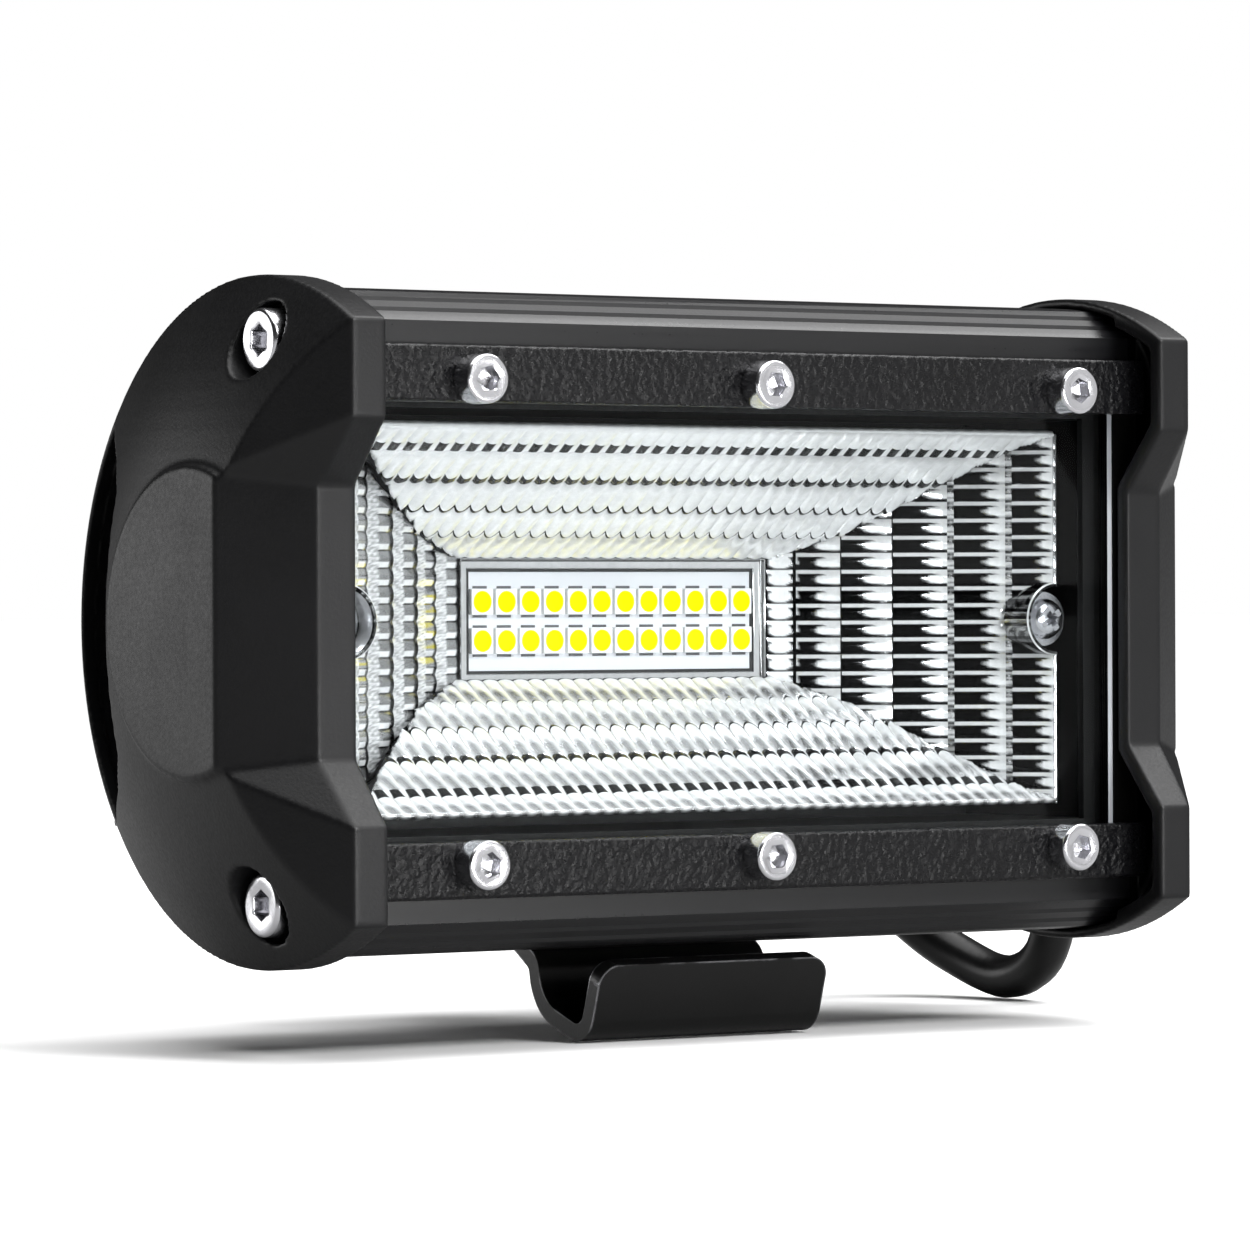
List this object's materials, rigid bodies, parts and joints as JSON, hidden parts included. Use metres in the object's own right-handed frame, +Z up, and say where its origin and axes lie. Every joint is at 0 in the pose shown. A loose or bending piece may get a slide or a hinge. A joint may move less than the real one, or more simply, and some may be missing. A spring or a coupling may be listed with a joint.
{
  "type": "fog light",
  "caption": "Rectangular LED fog light with finned aluminium housing, moulded end caps, faceted reflector, sliding steel bracket and rear cable.",
  "frame": {"origin": "centre of the bracket's mounting hole, on the underside of the ear", "axes": "+X along the lamp's length (right when seen from the front), +Y to the back, +Z up; the light shines towards -Y"},
  "size_m": [0.1437, 0.0771, 0.0859],
  "materials": {
    "cap_plastic": "fine grain",
    "black_aluminium": "satin powder coat",
    "wrinkle_coat": "wrinkle powder coat",
    "black_steel": "semi-gloss paint",
    "zinc_steel": "bright zinc",
    "clear_lens": "clear",
    "bright_reflector": "vacuum metallised",
    "white_board": "white solder mask",
    "white_package": "moulded",
    "phosphor": "cured gel",
    "black_seal": "matt",
    "grey_seal": "matt",
    "thermal_pad": "soft",
    "bare_aluminium": "turned",
    "black_component": "moulded",
    "black_nylon": "moulded",
    "cable_sheath": "smooth",
    "red_insulation": "smooth",
    "black_insulation": "smooth"
  },
  "bodies": {
    "bracket": {"bracket": "black_steel", "bracket_bolts": "zinc_steel", "bracket_washers": "zinc_steel", "slide_nuts": "zinc_steel"},
    "lamp": {"housing": "black_aluminium", "end_cap_left": "cap_plastic", "end_cap_right": "cap_plastic", "end_cap_screws": "zinc_steel", "end_seal_left": "black_seal", "end_seal_right": "black_seal", "bezel_top": "wrinkle_coat", "bezel_bottom": "wrinkle_coat", "bezel_screws": "zinc_steel", "lens": "clear_lens", "lens_gasket": "grey_seal", "reflector": "bright_reflector", "reflector_posts": "bare_aluminium", "reflector_screws": "zinc_steel", "led_board": "white_board", "led_packages": "white_package", "led_phosphors": "phosphor", "board_screws": "zinc_steel", "thermal_pad": "thermal_pad", "driver_chips": "black_component", "driver_inductors": "black_component", "driver_capacitors": "bare_aluminium", "supply_wire_red": "red_insulation", "supply_wire_black": "black_insulation", "gland_body": "black_nylon", "gland_seal": "black_seal", "gland_nut": "black_nylon", "cable": "cable_sheath", "lead_red": "red_insulation", "lead_black": "black_insulation", "lead_tips": "zinc_steel"}
  },
  "joints": [
    {"name": "bracket_slide", "type": "slide", "parent": "bracket", "child": "lamp", "axis": [1, 0, 0], "range_m": [-0.034, 0.034]}
  ]
}
